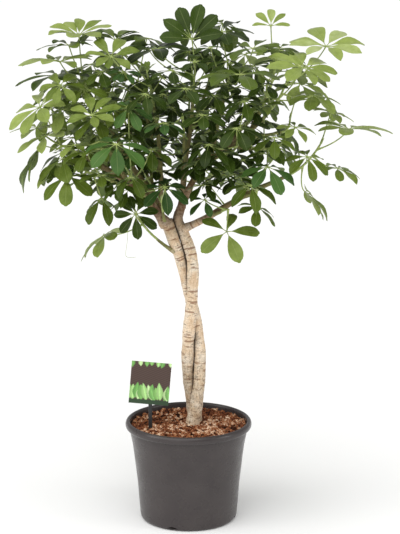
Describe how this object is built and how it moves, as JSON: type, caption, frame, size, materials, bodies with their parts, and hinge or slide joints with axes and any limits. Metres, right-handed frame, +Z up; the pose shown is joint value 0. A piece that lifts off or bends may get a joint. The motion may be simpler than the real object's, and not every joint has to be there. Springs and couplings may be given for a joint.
{
  "type": "potted umbrella plant",
  "caption": "Small umbrella tree with twisted stems and a wide crown of palmate leaves, standing in a tapered nursery pot with a care card.",
  "frame": {"origin": "centre of the pot's flat foot, on the surface it stands on", "axes": "+Z up along the plant's height, -Y towards the viewer of its front, +X to that viewer's right"},
  "size_m": [0.7847, 0.6117, 1.0903],
  "materials": {
    "pot_plastic": "satin moulded polypropylene, anthracite",
    "bark_chips": "coarse red-brown bark and coir",
    "bark": "light tan bark with brown leaf scars",
    "foliage": null,
    "card": "printed card, brown field over green",
    "stake_plastic": "black moulded plastic"
  },
  "bodies": {
    "root": {"pot": "pot_plastic", "substrate": "bark_chips", "stem_a": "bark", "stem_b": "bark", "shoot_upper_left": "foliage", "shoot_front_left": "foliage", "shoot_left": "foliage", "shoot_lower_left": "foliage", "shoot_front_middle_left": "foliage", "shoot_sucker": "foliage", "shoot_fork": "foliage", "shoot_inner_left": "foliage", "shoot_centre": "foliage", "shoot_upper_middle": "foliage", "shoot_top_right": "foliage", "shoot_upper_right": "foliage", "shoot_right": "foliage", "shoot_middle_right": "foliage", "shoot_lower_right": "foliage", "shoot_front_middle_right": "foliage", "shoot_low_front": "foliage", "shoot_inner_front": "foliage", "shoot_high_front": "foliage", "shoot_back_left": "foliage", "shoot_back_left_high": "foliage", "shoot_back_low": "foliage", "shoot_top_left_back": "foliage", "shoot_low_left_back": "foliage", "shoot_back": "foliage", "shoot_back_right_low": "foliage", "shoot_back_right_high": "foliage", "shoot_right_back": "foliage", "shoot_top_back": "foliage", "shoot_low_right_back": "foliage", "shoot_low_back": "foliage", "label_card": "card", "label_stake": "stake_plastic"}
  },
  "joints": []
}
